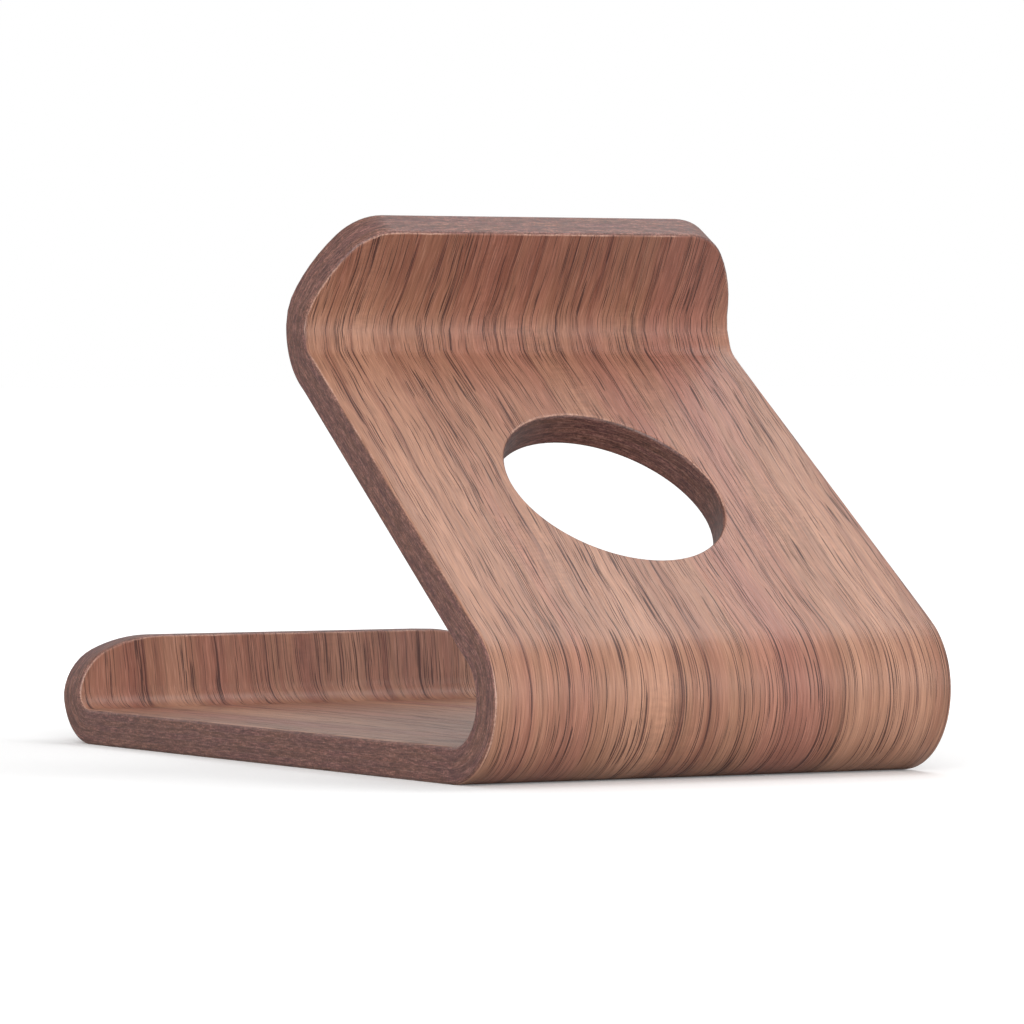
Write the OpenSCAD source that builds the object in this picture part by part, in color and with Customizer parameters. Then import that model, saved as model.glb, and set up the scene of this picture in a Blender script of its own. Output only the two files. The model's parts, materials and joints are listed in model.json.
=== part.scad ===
// Phone stand moulded from seven glued plies: a front lip, a flat base, a rear bend,
// a panel that leans forward with a cable hole in it, and a top bend with a short tail.
// The origin is on the floor, in the middle of the footprint. The lip faces -Y.

/* [Plies] */
// Thickness of each walnut face veneer
face_t = 0.5; // [0.4:0.1:0.8]
// Thickness of each core ply
core_t = 1; // [0.8:0.1:1.2]

/* [Strip] */
// Width of the lip, the base and the rear bend
base_w = 86; // [80:1:100]
// Width of the top bend and the tail
top_w = 82.4; // [70:0.2:87]

/* [Lip] */
// Straight height of the lip above its bend
lip_len = 9; // [8:0.5:14]
// Angle between the base and the lip, where 90 is upright
lip_angle = 92; // [91:1:110]
// Radius inside the bend between the lip and the base
lip_bend_r = 3.5; // [2:0.5:8]

/* [Base] */
// Length of the flat base between its two bends
base_len = 122; // [100:1:150]

/* [Leaning panel] */
// Radius inside the rear bend, between the base and the panel
rear_bend_r = 7.5; // [5:0.5:12]
// Slope of the panel above the base
panel_slope = 37; // [30:1:45]
// Straight length of the panel
panel_len = 70.5; // [64:0.5:80]
// Length of panel at each end that keeps its width before the sides start to close in
even_len = 2; // [1:0.5:5]
// Diameter of the cable hole
hole_d = 37.5; // [20:0.5:45]
// Distance up the panel from the rear bend to the centre of the hole
hole_up = 36; // [30:1:38]

/* [Top] */
// Radius inside the top bend, on its hollow rear side
top_bend_r = 6; // [6:0.5:12]
// Slope of the tail above the top bend
tail_slope = 60; // [55:1:80]
// Straight length of the tail
tail_len = 14.5; // [14:0.5:20]

/* [Rounded corners] */
// Length of a lip corner across the strip
lip_corner_across = 16.5; // [12:0.5:24]
// Length of a lip corner down the side
lip_corner_down = 11; // [9.5:0.5:12]
// Radius where a lip corner meets the side
lip_corner_r = 9.5; // [6:0.5:9.5]
// Length of a top corner across the strip
top_corner_across = 13; // [10:0.5:16]
// Length of a top corner down the side
top_corner_down = 20; // [17:0.5:20]
// Radius where a top corner meets the top edge
top_corner_r = 9.5; // [6:0.5:9.5]

/* [Hidden] */
$fn = 96;

CORE_PLIES = 5;
core_top = face_t + CORE_PLIES * core_t;
sheet_t = core_top + face_t;

// Angle between neighbouring points on a bend
BEND_STEP = 3;

// How far a cutter runs past the faces that it cuts
over = 1;

// How far a corner's arcs stand outside the edges that they run into, so that they cross them
crossing = 0.002;

WALNUT = [0.64, 0.49, 0.42];
STAINED_CORE = [0.45, 0.34, 0.30];

function polar(r, angle) = r * [cos(angle), sin(angle)];

// The strip is drawn from the side, as [distance backwards, height], with the front end of
// the flat base's underside at [0, 0]. Each bend has an axis, seen here as a point.
// A bend's radius to the underside of the strip is its axis distance.
lip_axis_r = sheet_t + lip_bend_r;
lip_axis = [0, lip_axis_r];
rear_axis_r = sheet_t + rear_bend_r;
rear_axis = [base_len, rear_axis_r];

// The panel leaves the rear bend on this heading, and its underside starts and ends here
panel_heading = 180 - panel_slope;
panel_start = rear_axis + polar(rear_axis_r, panel_heading - 90);
panel_end = panel_start + polar(panel_len, panel_heading);

// The top bend curls the other way, so its axis is behind the panel
top_axis = panel_end + polar(top_bend_r, panel_heading - 90);
tail_start = top_axis + polar(top_bend_r, tail_slope + 90);
tail_end = tail_start + polar(tail_len, tail_slope);

lip_start = lip_axis + polar(lip_axis_r, lip_angle + 90);
lip_end = lip_start + polar(lip_len, lip_angle);

// The footprint runs from the front of the lip's top edge to the back of the rear bend
footprint_centre = (lip_end.x + base_len + rear_axis_r) / 2;

function arc(centre, r, from, to) =
    let (steps = ceil(abs(to - from) / BEND_STEP))
    [for (i = [0:steps]) centre + polar(r, from + (to - from) * i / steps)];

// The line that runs along the whole strip at height h above its underside
function strip_line(h) = concat(
    [lip_end - polar(h, lip_angle + 90)],
    arc(lip_axis, lip_axis_r - h, lip_angle + 90, 270),
    arc(rear_axis, rear_axis_r - h, -90, panel_heading - 90),
    arc(top_axis, top_bend_r + h, panel_heading + 90, tail_slope + 90),
    [tail_end + polar(h, tail_slope + 90)]);

function reversed(points) = [for (i = [len(points) - 1:-1:0]) points[i]];

// Lays a side view that is drawn flat in the YZ plane, and gives it a width along X
module across(w) {
    rotate([90, 0, 90])
        linear_extrude(height = w, center = true)
            children();
}

// Puts its children at a point of the side view, with their +Y along a heading
module along(point, heading) {
    translate([0, point.x, point.y])
        rotate([heading, 0, 0])
            children();
}

// Extrudes a cutter's outline through the strip, to both sides of its underside
module through() {
    depth = sheet_t + over;
    linear_extrude(height = 2 * depth, center = true)
        children();
}

module both_sides() {
    children();
    mirror([1, 0, 0])
        children();
}

// One whole ply at full width, between two heights in the strip's thickness
module ply_blank(low, high) {
    across(base_w)
        polygon(concat(strip_line(low), reversed(strip_line(high))));
}

// What is cut from a square corner at the origin, whose edges run along -X and -Y, to leave
// two arcs that meet smoothly: the small one ends on the X edge, short away from the corner,
// and the large one on the Y edge, long away from it.
module corner_waste(short, long, small_r) {
    large_r = (pow(short, 2) + pow(long, 2) - 2 * long * small_r) / (2 * (short - small_r));
    small_centre = [-short, -small_r];
    large_centre = [-large_r, -long];
    meeting = (small_centre - large_centre) / (large_r - small_r);
    reach = 2 * large_r;
    translate([crossing, crossing])
        difference() {
            translate([-short, -long])
                square([short + over, long + over]);
            translate(small_centre)
                circle(r = small_r);
            intersection() {
                translate(large_centre)
                    circle(r = large_r);
                polygon([large_centre, large_centre + [reach, 0], large_centre + reach * meeting]);
            }
        }
}

module lip_corners() {
    along(lip_end, lip_angle)
        through()
            both_sides()
                translate([base_w / 2, 0])
                    mirror([1, -1, 0])
                        corner_waste(lip_corner_down, lip_corner_across, lip_corner_r);
}

module top_corners() {
    along(tail_end, tail_slope)
        through()
            both_sides()
                translate([top_w / 2, 0])
                    corner_waste(top_corner_across, top_corner_down, top_corner_r);
}

// What is cut from the sides, which close in along the panel and stay close above it
module side_waste() {
    tail_reach = top_bend_r + sheet_t + tail_len;
    far = panel_len + tail_reach;
    outer = base_w / 2 + over;
    outline = [[base_w / 2, even_len], [top_w / 2, panel_len - even_len], [top_w / 2, far],
        [outer, far], [outer, even_len]];
    depth = tail_reach + sheet_t + over;
    along(panel_start, panel_heading)
        translate([0, 0, sheet_t + over - depth])
            linear_extrude(height = depth)
                both_sides()
                    polygon(outline);
}

module cable_hole() {
    along(panel_start, panel_heading)
        translate([0, hole_up, 0])
            through()
                circle(d = hole_d);
}

// One finished ply, placed over the origin
module ply(low, high) {
    translate([0, -footprint_centre, 0])
        difference() {
            ply_blank(low, high);
            lip_corners();
            side_waste();
            top_corners();
            cable_hole();
        }
}

// The core plies are counted from the underside, which is also the back of the panel
module core_ply(number) {
    low = face_t + (number - 1) * core_t;
    color(STAINED_CORE)
        ply(low, low + core_t);
}

// The face veneer under the base, on the back of the panel and on the front of the lip
module back_veneer() {
    color(WALNUT)
        ply(0, face_t);
}

module core_ply_1() {
    core_ply(1);
}

module core_ply_2() {
    core_ply(2);
}

module core_ply_3() {
    core_ply(3);
}

module core_ply_4() {
    core_ply(4);
}

module core_ply_5() {
    core_ply(5);
}

// The face veneer on the base, on the front of the panel and on the back of the lip
module front_veneer() {
    color(WALNUT)
        ply(core_top, sheet_t);
}

back_veneer();
core_ply_1();
core_ply_2();
core_ply_3();
core_ply_4();
core_ply_5();
front_veneer();
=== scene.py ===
import json
import math

import bpy
import numpy as np
from mathutils import Matrix, Vector

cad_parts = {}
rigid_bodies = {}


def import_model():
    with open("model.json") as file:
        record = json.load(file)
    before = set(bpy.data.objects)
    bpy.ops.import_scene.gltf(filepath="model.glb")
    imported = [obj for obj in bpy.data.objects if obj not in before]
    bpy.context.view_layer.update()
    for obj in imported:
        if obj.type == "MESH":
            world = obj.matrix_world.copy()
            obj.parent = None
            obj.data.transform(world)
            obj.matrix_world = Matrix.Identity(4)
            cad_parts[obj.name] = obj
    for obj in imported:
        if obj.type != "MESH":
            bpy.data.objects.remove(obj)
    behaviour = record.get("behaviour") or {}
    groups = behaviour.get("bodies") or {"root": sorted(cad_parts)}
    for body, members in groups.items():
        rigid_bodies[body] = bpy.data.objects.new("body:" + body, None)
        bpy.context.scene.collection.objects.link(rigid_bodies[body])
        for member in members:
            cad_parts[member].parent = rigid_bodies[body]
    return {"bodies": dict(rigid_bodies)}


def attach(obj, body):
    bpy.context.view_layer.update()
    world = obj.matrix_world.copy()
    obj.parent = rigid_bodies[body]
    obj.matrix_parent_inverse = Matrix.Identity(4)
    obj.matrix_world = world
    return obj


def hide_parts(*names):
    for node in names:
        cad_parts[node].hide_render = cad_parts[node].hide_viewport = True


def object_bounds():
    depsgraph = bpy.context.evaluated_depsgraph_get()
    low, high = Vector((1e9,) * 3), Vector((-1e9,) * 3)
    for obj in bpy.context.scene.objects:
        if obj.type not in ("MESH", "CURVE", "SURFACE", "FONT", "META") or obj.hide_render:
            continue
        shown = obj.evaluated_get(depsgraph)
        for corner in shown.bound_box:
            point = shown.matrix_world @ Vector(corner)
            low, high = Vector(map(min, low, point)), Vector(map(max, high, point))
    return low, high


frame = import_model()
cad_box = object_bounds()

MM = 0.001

# The part is one rigid body.
(BODY,) = frame["bodies"]

# Driving dimensions of the bent strip, in millimetres and degrees.
FACE_T = 0.5
CORE_T = 1.0
CORE_PLIES = 5
SHEET_T = 2 * FACE_T + CORE_PLIES * CORE_T
BASE_HALF_W = 43.0
TOP_HALF_W = 41.2
LIP_LEN = 9.0
LIP_ANGLE = 92.0
LIP_BEND_R = 3.5
BASE_LEN = 122.0
REAR_BEND_R = 7.5
PANEL_SLOPE = 37.0
PANEL_LEN = 70.5
EVEN_LEN = 2.0
HOLE_R = 18.75
HOLE_UP = 36.0
TOP_BEND_R = 6.0
TAIL_SLOPE = 60.0
TAIL_LEN = 14.5
RIM_R = 0.65

# Mesh steps, in degrees and in counts of rows or columns.
BEND_STEP = 2.5
BASE_ROWS = 24
CORNER_ROWS = 8
PANEL_END_ROWS = 4
BLOCK_ROWS = 24
SIDE_COLUMNS = 9
RIM_ANGLES = (0, 20, 40, 60, 90)

# The square block of the panel round the hole: half its side in mm, and where the rings
# of points between the hole's rim and the block's edge lie, as shares of the way.
HOLE_BLOCK = 23.0
PATCH_SHARES = (0.0, 0.16, 0.5)

# Heights closer than this to a ply's own face get no loop of points, in mm.
LEAST_RISE = 0.01

HALF_T = SHEET_T / 2
LIP_R = LIP_BEND_R + HALF_T
REAR_R = REAR_BEND_R + HALF_T
TOP_R = TOP_BEND_R + HALF_T
PANEL_HEADING = 180 - PANEL_SLOPE
TOP_TURN = PANEL_HEADING - TAIL_SLOPE

# Each stretch of the strip: length along the middle surface and turn to the left.
STRETCHES = (
    (LIP_LEN, 0.0),
    (LIP_R * math.radians(180 - LIP_ANGLE), 180 - LIP_ANGLE),
    (BASE_LEN, 0.0),
    (REAR_R * math.radians(PANEL_HEADING), PANEL_HEADING),
    (PANEL_LEN, 0.0),
    (TOP_R * math.radians(TOP_TURN), -TOP_TURN),
    (TAIL_LEN, 0.0),
)
STARTS = np.concatenate([[0.0], np.cumsum([length for length, turn in STRETCHES])])
BASE_START, BASE_END, PANEL_START, TOP_BEND_START, TAIL_START, STRIP_LEN = STARTS[2:]
HOLE_S = PANEL_START + HOLE_UP


def polar(r, degrees):
    """Vector of length r at an angle, in the side view's (y, z)."""
    a = np.radians(degrees)
    return np.stack([r * np.cos(a), r * np.sin(a)], -1)


def strip_heading(s):
    """Direction of travel along the strip at distances s, in degrees."""
    heading = np.full(np.shape(s), LIP_ANGLE - 180.0)
    for start, (length, turn) in zip(STARTS, STRETCHES):
        heading = heading + turn * np.clip((s - start) / length, 0, 1)
    return heading


def middle_line(s):
    """Points (y, z) of the middle surface at distances s, from the lip's tip."""
    s = np.asarray(s, float)
    point = np.zeros(s.shape + (2,))
    heading = LIP_ANGLE - 180.0
    for start, (length, turn) in zip(STARTS, STRETCHES):
        done = np.clip(s - start, 0, length)
        if turn:
            radius = length / math.radians(turn)
            there = polar(radius, heading + 90 + turn * done / length)
            point += polar(radius, heading + 90) - there
        else:
            point += done[..., None] * polar(1.0, heading)
        heading += turn
    return point


def lie_of_strip(frame_hi):
    """Shift that puts the strip's own side view at its place in the frame."""
    base_start = middle_line(BASE_START)
    rear = base_start[0] + BASE_LEN + REAR_R + HALF_T
    return np.array([frame_hi.y / MM - rear, HALF_T - base_start[1]])


class Strip:
    """Maps distances along, across and through the strip to the frame."""

    def __init__(self, shift):
        self.shift = shift

    def side_view(self, s, h):
        normal = polar(1.0, strip_heading(s) + 90)
        return middle_line(s) + self.shift + (np.asarray(h) - HALF_T)[..., None] * normal

    def points(self, x, s, h):
        yz = self.side_view(s, h)
        return np.concatenate([np.asarray(x)[..., None], yz], -1) * MM

    def normals(self, s):
        n = polar(1.0, strip_heading(s) + 90)
        return np.concatenate([np.zeros(n.shape[:-1] + (1,)), n], -1)

    def tangents(self, s):
        t = polar(1.0, strip_heading(s))
        return np.concatenate([np.zeros(t.shape[:-1] + (1,)), t], -1)


class Corner:
    """Rounded corner of the outline: two arcs from the tip to the side."""

    def __init__(self, half, across, down, small_r):
        short, long_ = min(across, down), max(across, down)
        large_r = ((long_ - small_r) ** 2 + short**2 - small_r**2) / (short - small_r) / 2
        tip_r, side_r = (small_r, large_r) if down > across else (large_r, small_r)
        self.arcs = (
            (half - across, tip_r, tip_r),
            (half - side_r, down, side_r),
        )
        step = (self.arcs[1][0] - self.arcs[0][0], self.arcs[0][1] - self.arcs[1][1])
        if down > across:
            step = (-step[0], -step[1])
        meet = math.atan2(step[0], step[1])
        first = np.linspace(0, meet, CORNER_ROWS + 1)
        second = np.linspace(meet, math.pi / 2, CORNER_ROWS + 1)[1:]
        self.alpha = np.concatenate([first, second])
        self.on_second = np.arange(len(self.alpha)) > CORNER_ROWS

    def outline(self, inset):
        """Half-widths and distances from the tip along the corner."""
        cx, cv, r = np.where(self.on_second[:, None], self.arcs[1], self.arcs[0]).T
        x = cx + (r - inset) * np.sin(self.alpha)
        v = cv - (r - inset) * np.cos(self.alpha)
        return x, v


LIP_CORNER = Corner(BASE_HALF_W, across=16.5, down=11.0, small_r=9.5)
TOP_CORNER = Corner(TOP_HALF_W, across=13.0, down=20.0, small_r=9.5)


def rim_angle(h):
    """Angle round the rim's rounding at height h: 0 on a face, pi/2 on the wall."""
    depth = np.minimum(h, SHEET_T - h)
    return np.arccos(np.clip(1 - depth / RIM_R, 0, 1))


def rim_inset(h):
    """How far the rounded rim stands back from the wall at height h."""
    return RIM_R * (1 - math.sin(rim_angle(h)))


def lip_distance(v, h):
    """Distance along the strip of a point v below the lip's tip."""
    bent = np.arcsin(np.clip((v - LIP_LEN) / (LIP_R + HALF_T - h), 0, 1))
    return np.minimum(v, LIP_LEN) + LIP_R * bent


def top_distance(v, h):
    """Distance along the strip, from its top end, of a point v below the top."""
    bent = np.arcsin(np.clip((v - TAIL_LEN) / (TOP_BEND_R + h), 0, 1))
    return np.minimum(v, TAIL_LEN) + TOP_R * bent


def rows_between(start, end, count):
    """Evenly spaced stations after start, up to and including end."""
    return np.linspace(start, end, count + 1)[1:]


def bend_rows(turn):
    return max(2, round(abs(turn) / BEND_STEP))


def panel_rows():
    """Stations on the panel, dense beside the hole."""
    below = np.linspace(EVEN_LEN, HOLE_UP - HOLE_BLOCK, PANEL_END_ROWS + 1)
    block = rows_between(HOLE_UP - HOLE_BLOCK, HOLE_UP + HOLE_BLOCK, BLOCK_ROWS)
    above = rows_between(HOLE_UP + HOLE_BLOCK, PANEL_LEN - EVEN_LEN, PANEL_END_ROWS)
    return PANEL_START + np.concatenate([below, block, above, [PANEL_LEN]])


def panel_half_width(s, inset):
    """Half the strip's width between its corners."""
    risen = (s - PANEL_START - EVEN_LEN) / (PANEL_LEN - 2 * EVEN_LEN)
    narrowing = (BASE_HALF_W - TOP_HALF_W) * np.clip(risen, 0, 1)
    return BASE_HALF_W - narrowing - inset


def outline_rows(h):
    """Stations, half-widths, rim directions and tip signs of the rows at height h."""
    inset = rim_inset(h)
    lip_x, lip_v = LIP_CORNER.outline(inset)
    top_x, top_v = TOP_CORNER.outline(inset)
    lip_s = lip_distance(lip_v, h)
    top_s = STRIP_LEN - top_distance(top_v, h)[::-1]
    plain = np.concatenate(
        [
            rows_between(lip_s[-1], BASE_START, bend_rows(180 - LIP_ANGLE)),
            rows_between(BASE_START, BASE_END, BASE_ROWS),
            rows_between(BASE_END, PANEL_START, bend_rows(PANEL_HEADING)),
            panel_rows(),
            rows_between(TOP_BEND_START, top_s[0], bend_rows(TOP_TURN) // 2)[:-1],
        ]
    )
    s = np.concatenate([lip_s, plain, top_s])
    x = np.concatenate([lip_x, panel_half_width(plain, inset), top_x[::-1]])
    side = np.full(len(plain), math.pi / 2)
    alpha = np.concatenate([LIP_CORNER.alpha, side, TOP_CORNER.alpha[::-1]])
    ends = np.concatenate([-np.ones(len(lip_s)), np.zeros(len(plain)), np.ones(len(top_s))])
    return s, x, alpha, ends


def column_shares():
    """Positions across the strip as shares of its half-width."""
    edge = HOLE_BLOCK / panel_half_width(HOLE_S, 0)
    inner = np.linspace(-edge, edge, BLOCK_ROWS + 1)
    outer = np.linspace(edge, 1, SIDE_COLUMNS + 1)[1:]
    return np.concatenate([-outer[::-1], inner, outer])


COLUMNS = column_shares()
ROW_S = outline_rows(HALF_T)[0]
FIRST_ROW = int(np.argmin(abs(ROW_S - (HOLE_S - HOLE_BLOCK))))
LAST_ROW = FIRST_ROW + BLOCK_ROWS
FIRST_COL = SIDE_COLUMNS
LAST_COL = FIRST_COL + BLOCK_ROWS


def loop_round(first_row, last_row, first_col, last_col):
    """Grid places round a block, anticlockwise seen from the strip's top face."""
    low = [(first_row, j) for j in range(first_col, last_col + 1)]
    right = [(i, last_col) for i in range(first_row + 1, last_row)]
    high = [(last_row, j) for j in range(last_col, first_col - 1, -1)]
    left = [(i, first_col) for i in range(last_row - 1, first_row, -1)]
    return low + right + high + left


RIM_LOOP = loop_round(0, len(ROW_S) - 1, 0, len(COLUMNS) - 1)
BLOCK_LOOP = loop_round(FIRST_ROW, LAST_ROW, FIRST_COL, LAST_COL)


def block_angles():
    """Angles, from the hole's centre, of the places round the hole's block."""
    half = panel_half_width(ROW_S, 0)
    angles = []
    for i, j in BLOCK_LOOP:
        angles.append(math.atan2(ROW_S[i] - HOLE_S, half[i] * COLUMNS[j]))
    return np.array(angles)


BLOCK_ANGLES = block_angles()


def ply_heights(low, high):
    """Heights of the loops of points up a ply's wall."""
    heights = {low, high}
    for angle in RIM_ANGLES:
        rise = RIM_R * (1 - math.cos(math.radians(angle)))
        for height in (rise, SHEET_T - rise):
            if low + LEAST_RISE < height < high - LEAST_RISE:
                heights.add(height)
    return sorted(heights)


class PlyMesh:
    """Closed mesh of one ply: two faces, the outer wall and the hole's wall."""

    def __init__(self, strip, low, high):
        self.strip = strip
        self.developed = []
        self.rim = []
        self.outward = []
        self.count = 0
        self.faces = []
        self.kinds = []
        self.levels = []
        for h in ply_heights(low, high):
            whole = h in (low, high)
            self.levels.append(self.add_level(h, whole))
        self.add_face(self.levels[0], -1)
        self.add_face(self.levels[-1], 1)
        for below, above in zip(self.levels, self.levels[1:]):
            self.add_wall(below["rim"], above["rim"])
            self.add_wall(below["hole"][::-1], above["hole"][::-1])

    def add_points(self, x, s, h, outward):
        first = self.count
        self.developed.append(np.stack([x, s, np.full(len(x), h)], -1))
        self.rim.append(np.full(len(x), rim_angle(h)))
        self.outward.append(outward)
        self.count += len(x)
        return np.arange(first, self.count)

    def grid_outward(self, rows, cols, alpha, ends):
        """Directions out of the wall for points of the outer rim."""
        along = self.strip.tangents(np.where(ends < 0, 0.0, STRIP_LEN))
        side = np.where(cols == 0, -1.0, np.where(cols == len(COLUMNS) - 1, 1.0, 0.0))
        sideways = side * np.sin(alpha[rows])
        outward = along[rows] * (ends * np.cos(alpha))[rows][:, None]
        outward[:, 0] += sideways
        return outward

    def add_level(self, h, whole):
        s, half, alpha, ends = outline_rows(h)
        grid = np.full((len(s), len(COLUMNS)), -1)
        if whole:
            wanted = np.ones(grid.shape, bool)
            wanted[FIRST_ROW + 1 : LAST_ROW, FIRST_COL + 1 : LAST_COL] = False
        else:
            wanted = np.zeros(grid.shape, bool)
            for i, j in RIM_LOOP:
                wanted[i, j] = True
        rows, cols = np.nonzero(wanted)
        outward = self.grid_outward(rows, cols, alpha, ends)
        x = COLUMNS[cols] * half[rows]
        grid[rows, cols] = self.add_points(x, s[rows], h, outward)
        level = {"grid": grid, "rim": np.array([grid[i, j] for i, j in RIM_LOOP])}
        level["patch"] = self.add_patch(h, s, half, whole)
        level["hole"] = level["patch"][0]
        if whole:
            level["patch"].append(np.array([grid[i, j] for i, j in BLOCK_LOOP]))
        return level

    def add_patch(self, h, s, half, whole):
        """Rings of points between the hole and its block."""
        cos, sin = np.cos(BLOCK_ANGLES), np.sin(BLOCK_ANGLES)
        radius = HOLE_R + rim_inset(h)
        outward = np.outer(-cos, (1.0, 0.0, 0.0))
        outward += np.outer(-sin, self.strip.tangents(HOLE_S))
        edge_x = np.array([half[i] * COLUMNS[j] for i, j in BLOCK_LOOP])
        edge_s = np.array([s[i] for i, j in BLOCK_LOOP])
        rings = []
        for share in PATCH_SHARES if whole else PATCH_SHARES[:1]:
            x = (1 - share) * radius * cos + share * edge_x
            along = (1 - share) * (HOLE_S + radius * sin) + share * edge_s
            rings.append(self.add_points(x, along, h, outward))
        return rings

    def add_quads(self, a, b, c, d, kind):
        quads = np.stack([a, b, c, d], -1).reshape(-1, 4)
        self.faces.append(quads if kind >= 0 else quads[:, ::-1])
        self.kinds.append(np.full(len(quads), kind))

    def add_face(self, level, kind):
        """The flat face of a ply: its grid and the patch round the hole."""
        grid = level["grid"]
        free = np.ones((grid.shape[0] - 1, grid.shape[1] - 1), bool)
        free[FIRST_ROW:LAST_ROW, FIRST_COL:LAST_COL] = False
        a, b = grid[:-1, :-1][free], grid[:-1, 1:][free]
        c, d = grid[1:, 1:][free], grid[1:, :-1][free]
        self.add_quads(a, b, c, d, kind)
        for inner, outer in zip(level["patch"], level["patch"][1:]):
            ahead, beyond = np.roll(inner, -1), np.roll(outer, -1)
            self.add_quads(inner, outer, beyond, ahead, kind)

    def add_wall(self, below, above):
        self.add_quads(below, np.roll(below, -1), np.roll(above, -1), above, 0)

    def corner_normals(self, faces, kinds, developed):
        """Exact surface normals at every corner of every face."""
        rim = np.concatenate(self.rim)
        sheet = self.strip.normals(developed[:, 1])
        facing = np.where(developed[:, 2] > HALF_T, 1.0, -1.0)[:, None] * sheet
        wall = np.cos(rim)[:, None] * facing
        wall += np.sin(rim)[:, None] * np.concatenate(self.outward)
        wall /= np.linalg.norm(wall, axis=1)[:, None]
        flat = kinds[:, None, None] * sheet[faces]
        return np.where((kinds == 0)[:, None, None], wall[faces], flat)

    def build(self, name, material):
        developed = np.concatenate(self.developed)
        faces = np.concatenate(self.faces)
        kinds = np.concatenate(self.kinds)
        x, s, h = developed.T
        mesh = bpy.data.meshes.new(name)
        points = self.strip.points(x, s, h)
        mesh.from_pydata(points.tolist(), [], faces.tolist())
        mesh.polygons.foreach_set("use_smooth", np.ones(len(faces), bool))
        normals = self.corner_normals(faces, kinds, developed)
        mesh.normals_split_custom_set(normals.reshape(-1, 3).tolist())
        place = mesh.attributes.new("place", "FLOAT_VECTOR", "POINT")
        place.data.foreach_set("vector", developed.astype(np.float32).ravel())
        edge = mesh.attributes.new("edge", "FLOAT", "POINT")
        share = np.concatenate(self.rim) / (math.pi / 2)
        edge.data.foreach_set("value", share.astype(np.float32))
        mesh.materials.append(material)
        piece = bpy.data.objects.new(name, mesh)
        bpy.context.scene.collection.objects.link(piece)
        return piece


def srgb(red, green, blue):
    """Linear colour of an sRGB triple of 0 to 255."""
    return tuple(
        c / 12.92 if c <= 0.04045 else ((c + 0.055) / 1.055) ** 2.4
        for c in (red / 255, green / 255, blue / 255)
    ) + (1.0,)


# Colours of the wood, of its stained edge, and of the studio.
WALNUT_ROSE = srgb(156, 102, 85)
WALNUT_MIDDLE = srgb(160, 109, 88)
WALNUT_OLIVE = srgb(156, 110, 86)
WALNUT_TAN = srgb(173, 126, 101)
# The dark bands' colour, which also serves for painted shade.
WALNUT_BAND_AND_SHADE = srgb(116, 66, 51)
WALNUT_LINE = srgb(84, 42, 34)
WALNUT_PORE = srgb(62, 30, 25)
# Worn walnut for the arris, also the colour of painted sheen flecks.
WALNUT_WORN_AND_SHEEN = srgb(192, 150, 132)
STAIN_DARK = srgb(66, 38, 34)
STAIN_MIDDLE = srgb(110, 70, 62)
STAIN_LIGHT = srgb(158, 112, 99)
STAIN_PURPLE = srgb(102, 67, 67)
STAIN_OLIVE = srgb(114, 78, 62)
STAIN_GLUE = srgb(150, 120, 108)
PAPER_THROWN = srgb(188, 188, 188)
SKY = (0.64, 0.64, 0.64, 1.0)
WHITE = (1.0, 1.0, 1.0, 1.0)

# Painted shade on the hole's wall: the share of its light that the stain keeps there, and
# the distances from that wall, in mm, between which it comes back to all of it.
HOLE_PAINTED_SHADE = 0.72
HOLE_PAINTED_SHADE_FADE = (1.0, 3.0)

# Roughness of the satin oil that coats the wood.
OIL_ROUGHNESS = 0.36

# Each core ply, counted from the back: the seed of its stain and how light the stain is.
CORE_STAINS = ((11.3, 1.0), (4.1, 0.9), (19.7, 1.05), (27.2, 0.92), (8.6, 1.02))

# Each face veneer: the height of its lower side in the strip, in mm, and its grain's seed.
FACE_VENEERS = {"back_veneer": (0.0, 3.7), "front_veneer": (SHEET_T - FACE_T, 61.3)}

# Layers of the walnut's grain: noise cells per mm across and along it, and the slice of
# the noise that each layer has for its own.
BROAD = (0.1, 0.008, 11.0)
BANDS = (0.42, 0.012, 13.0)
FINE = (2.6, 0.06, 17.0)
HAIR = (5.4, 0.24, 23.0)
PORE_BANDS = (0.5, 0.02, 41.0)
PORES = (6.6, 0.09, 47.0)
RIPPLED = (0.06, 0.03, 59.0)

# How far the growth lines drift and wander sideways, in mm, and their slope to the strip.
DRIFT = 11.0
WANDER = 1.8
GRAIN_SLOPE = 0.012

# Growth rings per mm and their slice of the noise: the strong ones and the thin ones.
STRONG_RINGS = (0.2, 2.0)
THIN_RINGS = (0.62, 9.0)

# How unevenly rings are spaced, and the shares of one that its last line and its late
# wood take up.
BUNCHING = 1.5
CREST_SHARE = 0.06
LATE_SHARE = 0.45

# How much of each grain layer and line shows in the colour.
FINE_CONTRAST = 0.32
HAIR_CONTRAST = 0.36
LINE_DEPTH = 0.85
THIN_LINE_DEPTH = 0.4
PORE_DEPTH = 0.86

# Painted shade along the strip: up the panel under the tail, on the tail, and on the lip and
# the front of the base. From one distance to another, in mm, its share of the band's colour
# goes from the third number to the fourth.
PANEL_PAINTED_SHADE = (HOLE_S, TOP_BEND_START, 0.03, 0.18)
TAIL_PAINTED_SHADE = (TAIL_START - 3.0, STRIP_LEN - 6.0, 0.0, 0.38)
LIP_PAINTED_SHADE = (LIP_LEN, BASE_START + LIP_LEN, 0.35, 0.0)

# Half the floor's side in metres, and the gap under the base, in mm, that keeps them apart.
FLOOR_HALF = 6.0
FLOOR_GAP = 0.02

# The floor's own light for the camera, which makes it white away from the stand: from one
# distance from the middle to another, in metres, it goes from the third number to the fourth.
FLOOR_GLOW = (0.08, 0.22, 0.12, 0.5)

# The camera: what it looks at and from how far, in mm, its angles in degrees and its lens.
CAMERA_AIM = (0.0, 6.3, 41.0)
CAMERA_DISTANCE = 1183.0
CAMERA_AZIMUTH = 31.07
CAMERA_RISE = 1.5
CAMERA_ROLL = 0.21
LENS = 250.8


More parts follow.
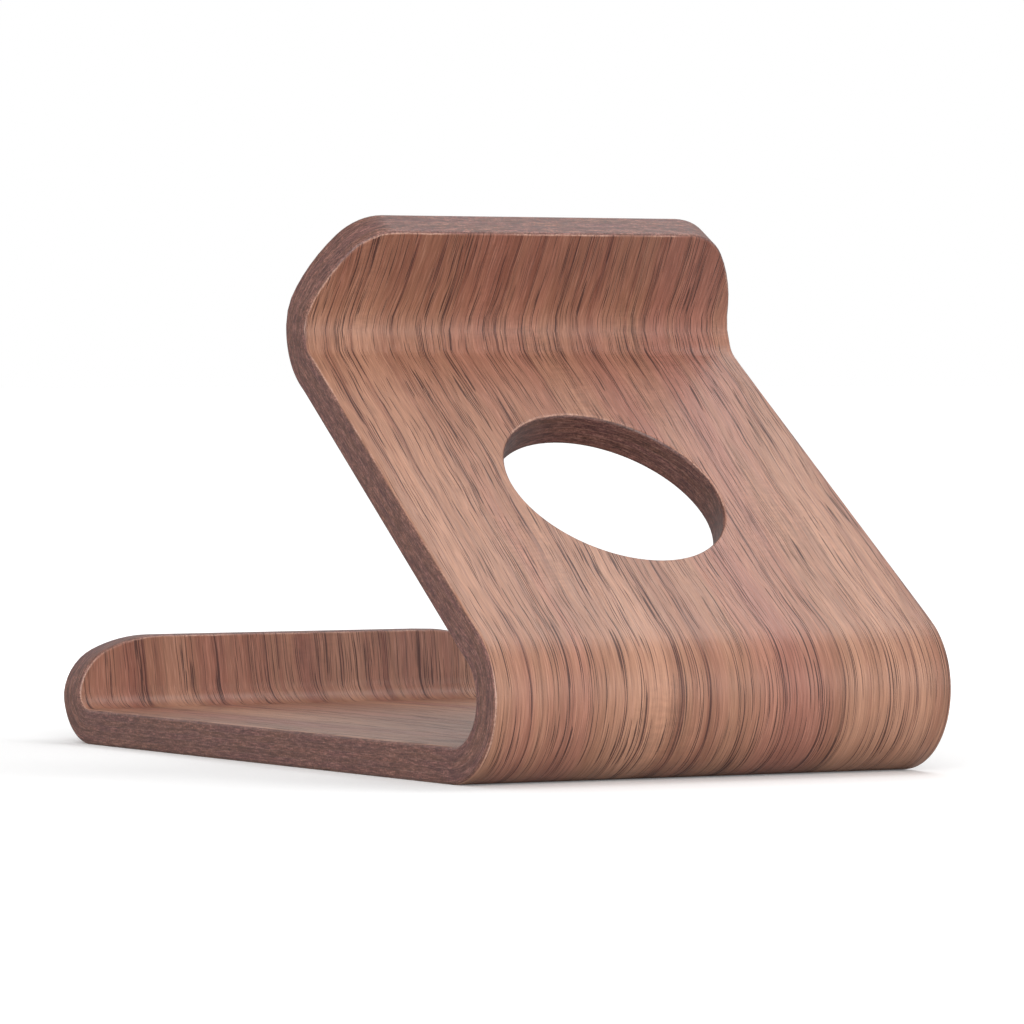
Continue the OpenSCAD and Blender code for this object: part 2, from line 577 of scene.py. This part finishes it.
class Graph:
    """Builds a material's nodes."""

    def __init__(self, name):
        self.material = bpy.data.materials.new(name)
        self.material.use_nodes = True
        self.tree = self.material.node_tree
        self.tree.nodes.clear()

    def add(self, kind, inputs=(), **settings):
        node = self.tree.nodes.new(kind)
        for key, value in settings.items():
            setattr(node, key, value)
        for key, value in dict(inputs).items():
            if isinstance(value, bpy.types.NodeSocket):
                self.tree.links.new(value, node.inputs[key])
            else:
                node.inputs[key].default_value = value
        return node

    def math(self, operation, a, b=0.0):
        return self.add("ShaderNodeMath", {0: a, 1: b}, operation=operation).outputs[0]

    def scaled(self, value, factor):
        return self.math("MULTIPLY", value, factor)

    def total(self, *terms):
        value = terms[0]
        for term in terms[1:]:
            value = self.math("ADD", value, term)
        return value

    def place(self, scale=(1.0, 1.0, 1.0), offset=(0.0, 0.0, 0.0)):
        """The point's place (across, along, through) in mm, scaled and moved."""
        source = self.add("ShaderNodeAttribute", attribute_name="place").outputs["Vector"]
        return self.shift(source, scale, offset)

    def shift(self, vector, scale, offset=(0.0, 0.0, 0.0)):
        inputs = {0: vector, 1: scale, 2: offset}
        node = self.add("ShaderNodeVectorMath", inputs, operation="MULTIPLY_ADD")
        return node.outputs["Vector"]

    def length(self, vector):
        node = self.add("ShaderNodeVectorMath", {0: vector}, operation="LENGTH")
        return node.outputs["Value"]

    def vector(self, x, y, z):
        return self.add("ShaderNodeCombineXYZ", {0: x, 1: y, 2: z}).outputs[0]

    def parts(self, vector):
        return list(self.add("ShaderNodeSeparateXYZ", {0: vector}).outputs)

    def noise(self, vector, detail=2.0, roughness=0.5):
        inputs = {"Vector": vector, "Scale": 1.0, "Detail": detail, "Roughness": roughness}
        return self.add("ShaderNodeTexNoise", inputs).outputs["Fac"]

    def levels(self, value, low, high, out_low=0.0, out_high=1.0):
        """Maps low..high of a value smoothly to out_low..out_high."""
        inputs = {0: value, 1: low, 2: high, 3: out_low, 4: out_high}
        node = self.add("ShaderNodeMapRange", inputs, interpolation_type="SMOOTHSTEP")
        return node.outputs[0]

    def ramp(self, value, stops):
        node = self.add("ShaderNodeValToRGB", {"Fac": value})
        elements = node.color_ramp.elements
        while len(elements) < len(stops):
            elements.new(0.5)
        for element, (position, shade) in zip(elements, stops):
            element.position = position
            element.color = shade if isinstance(shade, tuple) else (shade,) * 3 + (1.0,)
        return node.outputs["Color"]

    def mix(self, factor, a, b, blend="MIX"):
        """Mixes two colours; these sockets are the ones that a node set to RGBA uses."""
        inputs = {0: factor, 6: a, 7: b}
        node = self.add("ShaderNodeMix", inputs, data_type="RGBA", blend_type=blend)
        return node.outputs[2]

    def finish(self, colour, roughness, bump, strength, distance, coat=0.0, glow=0.0):
        """Closes the tree with a bumped surface, under a clear coat if coat is above 0."""
        inputs = {"Height": bump, "Strength": strength, "Distance": distance}
        normal = self.add("ShaderNodeBump", inputs).outputs["Normal"]
        inputs = {"Base Color": colour, "Roughness": roughness, "Normal": normal}
        inputs["Coat Weight"] = coat
        inputs["Coat Roughness"] = OIL_ROUGHNESS
        inputs["Emission Color"] = WHITE
        inputs["Emission Strength"] = glow
        surface = self.add("ShaderNodeBsdfPrincipled", inputs).outputs["BSDF"]
        self.add("ShaderNodeOutputMaterial", {"Surface": surface})
        return self.material


def from_hole(g):
    """Distance from the hole's axis, in mm."""
    return g.length(g.place((1.0, 1.0, 0.0), (0.0, -HOLE_S, 0.0)))


def stain_colour(g, seed):
    """Colour of the stained edge, its streaks and specks, and painted shade in the hole."""
    streak = g.noise(g.place((0.45, 0.45, 3.4), (seed, 0, seed)), 4.0, 0.68)
    mottle = g.noise(g.place((0.09, 0.09, 0.35), (seed + 7, 0, 0)), 2.0, 0.5)
    speck = g.noise(g.place((2.6, 2.6, 4.0), (seed, 3, 0)), 3.0, 0.7)
    shades = ((0.36, STAIN_DARK), (0.5, STAIN_MIDDLE), (0.64, STAIN_LIGHT))
    tint = g.ramp(mottle, ((0.35, STAIN_PURPLE), (0.65, STAIN_OLIVE)))
    colour = g.mix(0.4, g.ramp(streak, shades), tint)
    shade = g.ramp(speck, ((0.32, 0.2), (0.68, 0.8)))
    colour = g.mix(0.9, colour, shade, "OVERLAY")
    # Painted shade: the stain is darkened on the hole's wall and fades out beside it.
    near, far = HOLE_PAINTED_SHADE_FADE
    hole_shade = g.levels(from_hole(g), HOLE_R + near, HOLE_R + far, HOLE_PAINTED_SHADE, 1.0)
    return g.mix(1.0, colour, g.vector(hole_shade, hole_shade, hole_shade), "MULTIPLY"), streak, speck


def stained_core(name, seed, tone):
    """The sanded and stained wall of a core ply, with a glue line at each face."""
    g = Graph(name)
    colour, streak, speck = stain_colour(g, seed)
    through = g.parts(g.place((1.0, 1.0, 1.0 / CORE_T), (0, 0, -FACE_T / CORE_T)))[2]
    near_glue = g.math("ABSOLUTE", g.math("SUBTRACT", g.math("FRACT", through), 0.5))
    glue = g.scaled(g.levels(near_glue, 0.4, 0.49, 0.0, 0.3), g.levels(streak, 0.35, 0.6))
    colour = g.mix(1.0, colour, (tone, tone, tone, 1.0), "MULTIPLY")
    colour = g.mix(glue, colour, STAIN_GLUE)
    height = g.total(streak, g.scaled(speck, 0.6))
    rough = g.levels(speck, 0.3, 0.7, 0.5, 0.68)
    return g.finish(colour, rough, height, strength=0.4, distance=0.00008, coat=0.12)


class Grain:
    """Noise that follows one veneer's grain: across its growth lines, and along the strip."""

    def __init__(self, g, seed):
        self.g = g
        self.seed = seed
        self.line = self.growth_line()
        self.along = g.parts(g.place())[1]

    def growth_line(self):
        """Distance across the grain, in mm, with the slow wander of the growth lines."""
        g, seed = self.g, self.seed
        across, along = g.parts(g.place())[:2]
        drift = g.noise(g.place((0.012, 0.011, 0.0), (seed, seed, seed)), 1.0, 0.4)
        wander = g.noise(g.place((0.06, 0.045, 0.0), (seed, 5, seed)), 2.0, 0.5)
        slope = g.scaled(along, GRAIN_SLOPE)
        return g.total(across, g.scaled(drift, DRIFT), g.scaled(wander, WANDER), slope)

    def noise(self, layer, detail=2.0, roughness=0.5):
        """One layer's noise, stretched along the grain."""
        pace_across, pace_along, own_slice = layer
        across = self.g.scaled(self.line, pace_across)
        down = self.g.scaled(self.along, pace_along)
        vector = self.g.vector(across, down, self.seed + own_slice)
        return self.g.noise(vector, detail, roughness)

    def rings(self, kind):
        """Where growth rings end: the thin line itself, and the late wood up to it."""
        g, line = self.g, self.line
        pace, own_slice = kind
        seed = self.seed + own_slice
        bunching = g.noise(g.vector(g.scaled(line, pace * 0.75), seed, 0.0), 1.0)
        part = g.math("FRACT", g.total(g.scaled(line, pace), g.scaled(bunching, BUNCHING)))
        fade = self.noise((pace * 2.0, 0.02, own_slice))
        shown = g.levels(fade, 0.36, 0.58, 0.2, 1.0)
        dashes = self.noise((2.2, 0.16, own_slice), 1.0)
        crest = g.scaled(g.levels(part, 0.0, CREST_SHARE, 1.0, 0.0), shown)
        crest = g.scaled(crest, g.levels(dashes, 0.36, 0.52, 0.25, 1.0))
        late = g.scaled(g.levels(part, 0.0, LATE_SHARE, 1.0, 0.0), shown)
        return crest, late


def open_pores(grain, late, thin_late):
    """Short dark pores, crowded in bands and where the late wood ends."""
    g = grain.g
    crowd = g.total(
        g.levels(grain.noise(PORE_BANDS), 0.42, 0.6, -0.03, 0.06),
        grain.noise(PORES, 0.0),
        g.scaled(late, 0.1),
        g.scaled(thin_late, 0.06),
    )
    return g.levels(crowd, 0.69, 0.725)


def bands_and_painted_shade(grain, late, thin_late):
    """How far the wood goes towards its dark bands, plus painted shade at the panel, tail and lip.
    """
    g, along = grain.g, grain.along
    return g.total(
        g.levels(grain.noise(BANDS), 0.5, 0.72, 0.0, 0.35),
        # Painted shade: up the panel under the tail, on the tail, and at the lip.
        g.levels(along, *PANEL_PAINTED_SHADE),
        g.levels(along, *TAIL_PAINTED_SHADE),
        g.levels(along, *LIP_PAINTED_SHADE),
        g.scaled(late, 0.3),
        g.scaled(thin_late, 0.1),
    )


def figured_colour(grain, fine, hair):
    """Colour of the walnut without its edge, with painted shade and sheen, and where its pores
    are.
    """
    g, seed = grain.g, grain.seed
    crest, late = grain.rings(STRONG_RINGS)
    thin_crest, thin_late = grain.rings(THIN_RINGS)
    shades = ((0.36, WALNUT_ROSE), (0.46, WALNUT_MIDDLE), (0.54, WALNUT_OLIVE), (0.64, WALNUT_TAN))
    colour = g.ramp(grain.noise(BROAD), shades)
    colour = g.mix(bands_and_painted_shade(grain, late, thin_late), colour, WALNUT_BAND_AND_SHADE)
    colour = g.mix(g.scaled(thin_crest, THIN_LINE_DEPTH), colour, WALNUT_LINE)
    colour = g.mix(g.scaled(crest, LINE_DEPTH), colour, WALNUT_LINE)
    colour = g.mix(FINE_CONTRAST, colour, g.ramp(fine, ((0.3, 0.3), (0.7, 0.7))), "OVERLAY")
    colour = g.mix(HAIR_CONTRAST, colour, g.ramp(hair, ((0.3, 0.3), (0.7, 0.7))), "OVERLAY")
    ripple = g.noise(g.place((0.5, 1.5, 0.0), (seed, 53, seed)), 1.0)
    rippled = g.levels(grain.noise(RIPPLED), 0.5, 0.65, 0.0, 0.3)
    colour = g.mix(rippled, colour, g.ramp(ripple, ((0.3, 0.35), (0.7, 0.65))), "OVERLAY")
    # Painted sheen: pale flecks where the grain's hairs stand high.
    colour = g.mix(g.levels(hair, 0.56, 0.72, 0.0, 0.14), colour, WALNUT_WORN_AND_SHEEN)
    pore = open_pores(grain, late, thin_late)
    return g.mix(g.scaled(pore, PORE_DEPTH), colour, WALNUT_PORE), pore


def edged_colour(g, seed, colour):
    """Adds the rounded edge: a pale worn arris, and stain with a ragged border."""
    edge = g.add("ShaderNodeAttribute", attribute_name="edge").outputs["Fac"]
    stain, streak, speck = stain_colour(g, seed)
    ragged = g.total(edge, g.scaled(g.math("SUBTRACT", streak, 0.5), 0.5))
    patches = g.noise(g.place((0.12, 0.12, 0.0), (seed, 67, 0)), 2.0)
    wear = g.scaled(g.levels(speck, 0.4, 0.6, 0.25, 1.0), g.levels(patches, 0.4, 0.6))
    worn = g.scaled(g.levels(ragged, 0.12, 0.34), wear)
    colour = g.mix(worn, colour, WALNUT_WORN_AND_SHEEN)
    return g.mix(g.levels(ragged, 0.3, 0.55), colour, stain)


def walnut_veneer(name, seed):
    """Sanded walnut face veneer under a satin oil, grain along the strip."""
    g = Graph(name)
    grain = Grain(g, seed)
    fine = grain.noise(FINE, 3.0, 0.75)
    hair = grain.noise(HAIR, 1.0)
    colour, pore = figured_colour(grain, fine, hair)
    colour = edged_colour(g, seed, colour)
    height = g.math("SUBTRACT", g.total(g.scaled(hair, 0.6), g.scaled(fine, 0.6)), pore)
    rough = g.total(g.levels(fine, 0.3, 0.7, 0.4, 0.54), g.scaled(pore, 0.2))
    return g.finish(colour, rough, height, strength=0.5, distance=0.0002, coat=0.26)


def floor_material():
    """Matt pale paper with a barely visible tooth, darker to the light it throws back."""
    g = Graph("studio_paper")
    where = g.add("ShaderNodeTexCoord").outputs["Object"]
    tooth = g.noise(g.shift(where, (900.0, 900.0, 900.0)), 2.0)
    seen = g.add("ShaderNodeLightPath").outputs["Is Camera Ray"]
    pale = g.ramp(tooth, ((0.3, 0.93), (0.7, 0.96)))
    colour = g.mix(seen, PAPER_THROWN, pale)
    glow = g.math("MULTIPLY", seen, g.levels(g.length(where), *FLOOR_GLOW))
    return g.finish(colour, 0.9, tooth, strength=0.05, distance=0.0002, glow=glow)


def build_plies(strip):
    """One piece per ply, each standing for its CAD node."""
    for number, (seed, tone) in enumerate(CORE_STAINS, 1):
        low = FACE_T + (number - 1) * CORE_T
        node = f"core_ply_{number}"
        material = stained_core(f"stained_{node}", seed, tone)
        finish_ply(PlyMesh(strip, low, low + CORE_T), node, material)
    for node, (low, seed) in FACE_VENEERS.items():
        material = walnut_veneer(f"walnut_{node}", seed)
        finish_ply(PlyMesh(strip, low, low + FACE_T), node, material)


def finish_ply(ply, node, material):
    """Makes a ply's object, shows it in place of its CAD node and puts it on the body."""
    piece = ply.build("shown_" + node, material)
    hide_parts(node)
    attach(piece, BODY)


def build_floor():
    """Flat paper just under the base."""
    mesh = bpy.data.meshes.new("floor")
    half, low = FLOOR_HALF, -FLOOR_GAP * MM
    corners = [(-half, -half, low), (half, -half, low), (half, half, low), (-half, half, low)]
    mesh.from_pydata(corners, [], [(0, 1, 2, 3)])
    mesh.materials.append(floor_material())
    floor = bpy.data.objects.new("floor", mesh)
    bpy.context.scene.collection.objects.link(floor)


def area_light(name, place, aim, side, power):
    """Square soft light at a place, pointing at aim; metres and watts."""
    lamp = bpy.data.lights.new(name, "AREA")
    lamp.size = side
    lamp.energy = power
    light = bpy.data.objects.new(name, lamp)
    light.location = place
    direction = Vector(aim) - Vector(place)
    light.rotation_euler = direction.to_track_quat("-Z", "Y").to_euler()
    bpy.context.scene.collection.objects.link(light)


def build_world():
    """White to the camera, and an even soft sky to everything else."""
    world = bpy.data.worlds.new("studio")
    bpy.context.scene.world = world
    world.use_nodes = True
    tree = world.node_tree
    tree.nodes.clear()
    path = tree.nodes.new("ShaderNodeLightPath")
    mix = tree.nodes.new("ShaderNodeMix")
    mix.data_type = "RGBA"
    mix.inputs[6].default_value = SKY
    mix.inputs[7].default_value = WHITE
    background = tree.nodes.new("ShaderNodeBackground")
    output = tree.nodes.new("ShaderNodeOutputWorld")
    tree.links.new(path.outputs["Is Camera Ray"], mix.inputs[0])
    tree.links.new(mix.outputs[2], background.inputs["Color"])
    tree.links.new(background.outputs[0], output.inputs["Surface"])


def build_lights():
    build_world()
    area_light("softbox", (-0.21, 0.07, 0.4), aim=(0, 0.05, 0.03), side=0.18, power=0.36)
    area_light("rim", (-0.26, -0.19, 0.4), aim=(0, 0, 0.06), side=0.18, power=0.25)
    area_light("fill", (0.55, 0.86, 0.26), aim=(0, 0, 0.04), side=0.6, power=7.9)
    area_light("glint", (-0.52, 0.96, 0.24), aim=(0, 0, 0.05), side=0.45, power=1.5)


def build_camera():
    """Seen from behind and low down, as the photograph is taken."""
    azimuth, rise = math.radians(CAMERA_AZIMUTH), math.radians(CAMERA_RISE)
    level = math.cos(rise)
    back = Vector((level * math.sin(azimuth), level * math.cos(azimuth), math.sin(rise)))
    turn = back.to_track_quat("Z", "Y").to_matrix()
    turn = turn @ Matrix.Rotation(math.radians(CAMERA_ROLL), 3, "Z")
    camera = bpy.data.objects.new("camera", bpy.data.cameras.new("camera"))
    place = Vector(CAMERA_AIM) + CAMERA_DISTANCE * back
    camera.matrix_world = Matrix.Translation(place * MM) @ turn.to_4x4()
    camera.data.lens = LENS
    camera.data.clip_start = 0.01
    bpy.context.scene.collection.objects.link(camera)
    bpy.context.scene.camera = camera


def build_scene():
    build_plies(Strip(lie_of_strip(cad_box[1])))
    build_floor()
    build_lights()
    build_camera()
    bpy.context.scene.view_settings.view_transform = "Standard"


build_scene()
